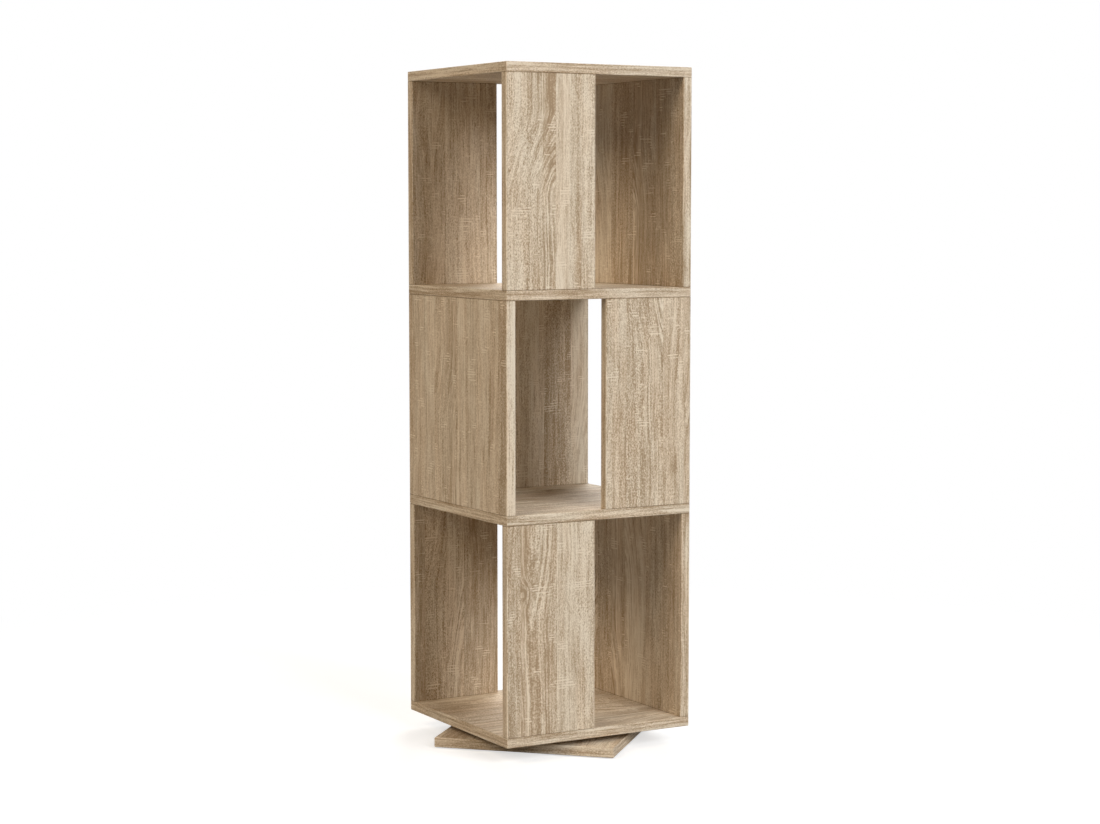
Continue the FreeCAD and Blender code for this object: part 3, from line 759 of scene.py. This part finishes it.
class BOOKCASE_OT_boards(bpy.types.Operator):
    """Finish the four square boards."""

    bl_idname = "bookcase.boards"
    bl_label = "Finish boards"

    def execute(self, context):
        decor = context.scene.bookcase_decor
        for name in BOARDS:
            dress(name, decor_material(name, decor, plate_axes(name), banded_ends=True))
        return {"FINISHED"}


class BOOKCASE_OT_panels(bpy.types.Operator):
    """Finish the full and the half panels of the three tiers."""

    bl_idname = "bookcase.panels"
    bl_label = "Finish panels"

    def execute(self, context):
        decor = context.scene.bookcase_decor
        for tier in TIERS:
            for where in ("side", "front", "rear"):
                name = f"{tier}_{where}_panel"
                dress(name, decor_material(name, decor, plate_axes(name), banded_ends=False))
        return {"FINISHED"}


class BOOKCASE_OT_base_plate(bpy.types.Operator):
    """Finish the base plate, whose grain runs along its own sides."""

    bl_idname = "bookcase.base_plate"
    bl_label = "Finish base plate"

    def execute(self, context):
        decor = context.scene.bookcase_decor
        axes = plate_axes("base_plate", Vector((1, 1, 0)).normalized())
        dress("base_plate", decor_material("base_plate", decor, axes, banded_ends=True))
        return {"FINISHED"}


# ---- metal, plastic and beech -------------------------------------------------------------------

METAL_GROUP = "Turned metal"
PLASTIC_GROUP = "Moulded plastic"

# Sizes of smears, marks, flow, grain and rays, in metres.
CRYSTALS_PER_METRE = 250.0
SHEET_SMEAR = (0.004, 0.02, 0.004)
TURNING_MARKS = (0.0009, 0.0009, 0.00012)
GREASE_SMEAR = (0.004, 0.004, 0.003)
MOULD_FLOW = (0.009, 0.02, 0.009)
BEECH_GRAIN = (0.0007, 0.0007, 0.014)
BEECH_RAYS = (0.0004, 0.0004, 0.0022)
RAY_STEP = (0.10, 0.20)

# How high the bump of each finish stands, in metres.
SHEET_RELIEF = 0.00001
METAL_RELIEF = 0.000008
PLASTIC_RELIEF = 0.00003
BEECH_RELIEF = 0.00006
RAY_DEPTH = -0.5

# How much each cause of variation changes the lightness of a finish, and its roughness.
SHEET_LIGHT, SPANGLE_LIGHT, SMEAR_LIGHT = 0.82, 0.22, 0.30
SHEET_ROUGHNESS, SPANGLE_ROUGHNESS, SMEAR_ROUGHNESS = 0.30, 0.14, 0.25
MARK_LIGHT, MARK_ROUGHNESS = 0.18, 0.12
SKIN_LIGHT, FLOW_LIGHT, FLOW_ROUGHNESS = 0.14, 0.30, 0.20
GRAIN_LIGHT, RAY_LIGHT = 0.50, -0.22
BEECH_ROUGHNESS, GRAIN_ROUGHNESS = 0.62, 0.20
STEEL_BLUE = 0.99  # how much of its blue a turned metal keeps


def sheet_material(tone):
    """Galvanised sheet: crystals of zinc that catch the light at different angles."""
    material, graph, shader = new_material("Galvanised sheet")
    point = graph.object_place()
    crystals = graph.node("ShaderNodeTexVoronoi", Vector=point, Scale=CRYSTALS_PER_METRE)
    spangle = graph.parts(crystals.outputs["Color"])[0]
    smear = graph.noise(point, SHEET_SMEAR, detail=3.0)
    lightness = graph.add(SHEET_LIGHT, graph.times(spangle, SPANGLE_LIGHT),
                          graph.times(smear, SMEAR_LIGHT))
    graph.feed(shader["Base Color"], graph.tint(1.0, tone, graph.grey(lightness)))
    shader["Metallic"].default_value = 1.0
    graph.feed(shader["Roughness"],
               graph.add(SHEET_ROUGHNESS, graph.times(spangle, SPANGLE_ROUGHNESS),
                         graph.times(smear, SMEAR_ROUGHNESS)))
    graph.feed(shader["Normal"], bump(graph, graph.add(spangle, smear), SHEET_RELIEF))
    return material


def build_metal_group():
    """Fine marks on plated or polished steel, and a film of grease or dust."""
    graph, given, results = new_group(
        METAL_GROUP,
        {"Position": "Vector", "Tone": "Color", "Roughness": "Float", "Film": "Float"},
        {"Color": "Color", "Height": "Float", "Roughness": "Float"})
    marks = graph.noise(given["Position"], TURNING_MARKS, detail=3.0, roughness=0.6)
    smear = graph.times(graph.noise(given["Position"], GREASE_SMEAR), given["Film"])
    lightness = graph.less(graph.add(1.0, graph.times(marks, MARK_LIGHT)), smear)
    shade = graph.node("ShaderNodeCombineColor", Red=lightness, Green=lightness,
                       Blue=graph.times(lightness, STEEL_BLUE)).outputs[0]
    graph.feed(results["Color"], graph.tint(1.0, given["Tone"], shade))
    graph.feed(results["Height"], marks)
    graph.feed(results["Roughness"], graph.add(
        given["Roughness"], graph.times(marks, MARK_ROUGHNESS), smear))


def build_plastic_group():
    """The fine eroded skin and the faint flow marks of moulded plastic."""
    graph, given, results = new_group(
        PLASTIC_GROUP,
        {"Position": "Vector", "Tone": "Color", "Roughness": "Float", "Grit": "Float"},
        {"Color": "Color", "Height": "Float", "Roughness": "Float"})
    skin = graph.noise(given["Position"], given["Grit"], roughness=0.6)
    flow = graph.noise(given["Position"], MOULD_FLOW)
    lightness = graph.add(1.0, graph.times(skin, SKIN_LIGHT), graph.times(flow, FLOW_LIGHT))
    graph.feed(results["Color"], graph.tint(1.0, given["Tone"], graph.grey(lightness)))
    graph.feed(results["Height"], skin)
    graph.feed(results["Roughness"],
               graph.add(given["Roughness"], graph.times(flow, FLOW_ROUGHNESS)))


def feed_shader(graph, shader, finish, relief):
    """Give a shader the colour, the roughness and the height that a group puts out."""
    graph.feed(shader["Base Color"], finish["Color"])
    graph.feed(shader["Roughness"], finish["Roughness"])
    graph.feed(shader["Normal"], bump(graph, finish["Height"], relief))


def turned_metal(name, tone, roughness, film):
    """Plated or polished steel. The film is how much grease or dust lies on it."""
    material, graph, shader = new_material(name)
    metal = place_group(graph, METAL_GROUP, Position=graph.object_place(), Tone=tone,
                        Roughness=roughness, Film=film)
    feed_shader(graph, shader, metal, METAL_RELIEF)
    shader["Metallic"].default_value = 1.0
    return material


def moulded_plastic(name, tone, roughness, grit, gloss=0.4):
    """Moulded plastic. The grit is how coarse its skin is, in metres."""
    material, graph, shader = new_material(name)
    plastic = place_group(graph, PLASTIC_GROUP, Position=graph.object_place(), Tone=tone,
                          Roughness=roughness, Grit=grit)
    feed_shader(graph, shader, plastic, PLASTIC_RELIEF)
    shader["Specular IOR Level"].default_value = gloss
    return material


def beech_material(tone):
    """Turned beech: fine upright grain with small darker rays."""
    material, graph, shader = new_material("Beech dowel")
    point = graph.object_place()
    grain = graph.noise(point, BEECH_GRAIN, detail=3.0, roughness=0.6)
    rays = graph.smooth(graph.noise(point, BEECH_RAYS, detail=1.0), *RAY_STEP)
    lightness = graph.add(1.0, graph.times(grain, GRAIN_LIGHT), graph.times(rays, RAY_LIGHT))
    graph.feed(shader["Base Color"], graph.tint(1.0, tone, graph.grey(lightness)))
    graph.feed(shader["Roughness"],
               graph.add(BEECH_ROUGHNESS, graph.times(grain, GRAIN_ROUGHNESS)))
    relief = graph.add(grain, graph.times(rays, RAY_DEPTH))
    graph.feed(shader["Normal"], bump(graph, relief, BEECH_RELIEF))
    return material


class BOOKCASE_OT_turntable(bpy.types.Operator):
    """Finish the plates, eyelet, balls and cage of the turntable."""

    bl_idname = "bookcase.turntable"
    bl_label = "Finish turntable"

    def execute(self, context):
        tones = context.scene.bookcase_hardware
        sheet = sheet_material(tones.sheet)
        for name in ("bearing_lower_plate", "bearing_upper_plate", "bearing_eyelet"):
            dress(name, sheet)
        dress("bearing_balls", turned_metal("Ball steel", tones.steel, roughness=0.14, film=0.12))
        dress("bearing_cage",
              moulded_plastic("Cage nylon", tones.nylon, roughness=0.45, grit=0.0005))
        return {"FINISHED"}


class BOOKCASE_OT_fasteners(bpy.types.Operator):
    """Finish the screws, the dowels, the cover caps and the glides."""

    bl_idname = "bookcase.fasteners"
    bl_label = "Finish fasteners"

    def execute(self, context):
        tones = context.scene.bookcase_hardware
        zinc = turned_metal("Zinc plate", tones.zinc, roughness=0.30, film=0.10)
        beech = beech_material(tones.beech)
        cap = moulded_plastic("Cap plastic", tones.cap, roughness=0.70, grit=0.0004, gloss=0.22)
        glide = moulded_plastic("Glide plastic", tones.glide, roughness=0.55, grit=0.0007)
        for board in BOARDS:
            dress(f"{board}_screws", zinc)
            dress(f"{board}_dowels", beech)
        for board in BOARDS[1:]:
            dress(f"{board}_caps", cap)
        for name in ("bearing_lower_screws", "bearing_upper_screws"):
            dress(name, zinc)
        dress("floor_glides", glide)
        return {"FINISHED"}


# ---- studio -------------------------------------------------------------------------------------

# Large square lights: place and width in metres, and colour.
LIGHTS = {
    "key": ((0.98, -6.16, 3.73), 3.4, (1.0, 0.99, 0.975)),
    "fill": ((-4.79, -1.11, 3.99), 3.2, (1.0, 0.835, 0.64)),
    "rear": ((3.65, 4.35, 3.20), 3.0, (1.0, 0.97, 0.93)),
}
AMBIENT_TONE = (1.0, 0.965, 0.91)
WHITE = (1, 1, 1)

SENSOR_WIDTH = 36.0  # millimetres

# The floor.
FLOOR_REACH = 1.5                 # how far the disc reaches, in floor radii
FADE_START = 0.35                 # where it starts to fade, in floor radii
RIM_POINTS = 96
BOUNCE_TONE = (0.42, 0.41, 0.39)  # its colour for the light that it throws back
FLOOR_GLOW = 0.60                 # how much it glows where it is seen


def seen_directly(graph):
    """1 for rays from the camera, and for what metal mirrors or glass lets through."""
    rays = graph.node("ShaderNodeLightPath").outputs
    mirrored = graph.math("MAXIMUM", rays["Is Glossy Ray"], rays["Is Transmission Ray"])
    return graph.math("MAXIMUM", rays["Is Camera Ray"], mirrored)


def floor_material(studio):
    """Pale near the bookcase, white further out, and clear where it is seen from below."""
    material = bpy.data.materials.new("Floor")
    material.use_nodes = True
    material.node_tree.nodes.clear()
    graph = Graph(material.node_tree)
    seen = seen_directly(graph)
    away = graph.vector("LENGTH", graph.object_place())
    far = graph.smooth(away, studio.floor_radius * FADE_START, studio.floor_radius)
    lit = graph.node("ShaderNodeBsdfDiffuse", Color=graph.mix(seen, BOUNCE_TONE, studio.floor))
    glow = graph.node("ShaderNodeEmission", Color=WHITE, Strength=graph.times(seen, FLOOR_GLOW))
    near = graph.numbered("ShaderNodeAddShader", None, (lit.outputs[0], glow.outputs[0]))
    white = graph.node("ShaderNodeEmission", Color=WHITE, Strength=1.0)
    above = graph.blend(graph.times(far, seen), near.outputs[0], white.outputs[0])
    from_below = graph.node("ShaderNodeNewGeometry").outputs["Backfacing"]
    clear = graph.node("ShaderNodeBsdfTransparent")
    surface = graph.blend(graph.times(from_below, seen), above, clear.outputs[0])
    graph.node("ShaderNodeOutputMaterial", Surface=surface)
    return material


def make_floor(studio):
    """A pale disc that takes the shadow and fades into the background."""
    radius = studio.floor_radius * FLOOR_REACH
    angles = [math.tau * step / RIM_POINTS for step in range(RIM_POINTS)]
    rim = [(radius * math.cos(angle), radius * math.sin(angle), 0) for angle in angles]
    mesh = bpy.data.meshes.new("floor")
    mesh.from_pydata(rim, [], [tuple(range(RIM_POINTS))])
    mesh.materials.append(floor_material(studio))
    floor = bpy.data.objects.new("floor", mesh)
    bpy.context.scene.collection.objects.link(floor)


def make_world(studio):
    """White where it is seen or mirrored, and a low warm light from all round otherwise."""
    world = bpy.data.worlds.new("Studio")
    bpy.context.scene.world = world
    world.use_nodes = True
    world.node_tree.nodes.clear()
    graph = Graph(world.node_tree)
    seen = seen_directly(graph)
    strength = graph.add(studio.ambient, graph.times(seen, 1.0 - studio.ambient))
    tone = graph.mix(seen, AMBIENT_TONE, WHITE)
    background = graph.node("ShaderNodeBackground", Color=tone, Strength=strength)
    graph.node("ShaderNodeOutputWorld", Surface=background.outputs[0])


def make_light(name, place, target, width, watts, tone):
    """A large square light that faces a point."""
    light = bpy.data.lights.new(name, "AREA")
    light.size = width
    light.energy = watts
    light.color = tone
    lamp = bpy.data.objects.new(name, light)
    lamp.location = place
    lamp.rotation_euler = (Vector(target) - Vector(place)).to_track_quat("-Z", "Y").to_euler()
    bpy.context.scene.collection.objects.link(lamp)


def make_camera(studio):
    """The camera, upright at its heading and dip, with a long lens."""
    camera = bpy.data.objects.new("camera", bpy.data.cameras.new("camera"))
    camera.data.sensor_width = SENSOR_WIDTH
    camera.data.lens = studio.camera_lens
    camera.location = studio.camera_place
    camera.rotation_euler = (math.pi / 2 - studio.camera_dip, 0, -studio.camera_heading)
    bpy.context.scene.collection.objects.link(camera)
    bpy.context.scene.camera = camera


class BOOKCASE_OT_stage(bpy.types.Operator):
    """Make the floor, the lights, the background and the camera."""

    bl_idname = "bookcase.stage"
    bl_label = "Make studio"

    def execute(self, context):
        studio = context.scene.bookcase_studio
        low, high = CAD_BOX
        target = (low + high) / 2
        make_floor(studio)
        make_world(studio)
        for name, (place, width, tone) in LIGHTS.items():
            make_light(name, place, target, width, getattr(studio, f"{name}_watts"), tone)
        make_camera(studio)
        context.scene.view_settings.view_transform = "Standard"
        return {"FINISHED"}


# ---- add-on -------------------------------------------------------------------------------------

STEPS = ("boards", "panels", "base_plate", "turntable", "fasteners", "stage")


class BOOKCASE_PT_panel(bpy.types.Panel):
    """Lists the steps and the settings in the sidebar."""

    bl_idname = "BOOKCASE_PT_panel"
    bl_label = "Revolving bookcase"
    bl_space_type = "VIEW_3D"
    bl_region_type = "UI"
    bl_category = "Bookcase"

    def draw(self, context):
        for step in STEPS:
            self.layout.operator(f"bookcase.{step}")
        for settings in (context.scene.bookcase_decor, context.scene.bookcase_hardware,
                         context.scene.bookcase_studio):
            box = self.layout.box()
            for name in settings.bl_rna.properties.keys():
                if name not in ("rna_type", "name"):
                    box.prop(settings, name)


CLASSES = (
    DecorSettings, HardwareSettings, StudioSettings, BOOKCASE_OT_boards, BOOKCASE_OT_panels,
    BOOKCASE_OT_base_plate, BOOKCASE_OT_turntable, BOOKCASE_OT_fasteners, BOOKCASE_OT_stage,
    BOOKCASE_PT_panel)


def register():
    """Add the classes and the settings to Blender."""
    for item in CLASSES:
        bpy.utils.register_class(item)
    bpy.types.Scene.bookcase_decor = bpy.props.PointerProperty(type=DecorSettings)
    bpy.types.Scene.bookcase_hardware = bpy.props.PointerProperty(type=HardwareSettings)
    bpy.types.Scene.bookcase_studio = bpy.props.PointerProperty(type=StudioSettings)


def unregister():
    """Take the settings and the classes out of Blender."""
    del bpy.types.Scene.bookcase_decor
    del bpy.types.Scene.bookcase_hardware
    del bpy.types.Scene.bookcase_studio
    for item in reversed(CLASSES):
        bpy.utils.unregister_class(item)


def main():
    """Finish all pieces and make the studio."""
    register()
    build_plate_group()
    build_oak_group()
    build_chip_group()
    build_metal_group()
    build_plastic_group()
    for step in STEPS:
        getattr(bpy.ops.bookcase, step)()


if __name__ == "__main__":
    main()
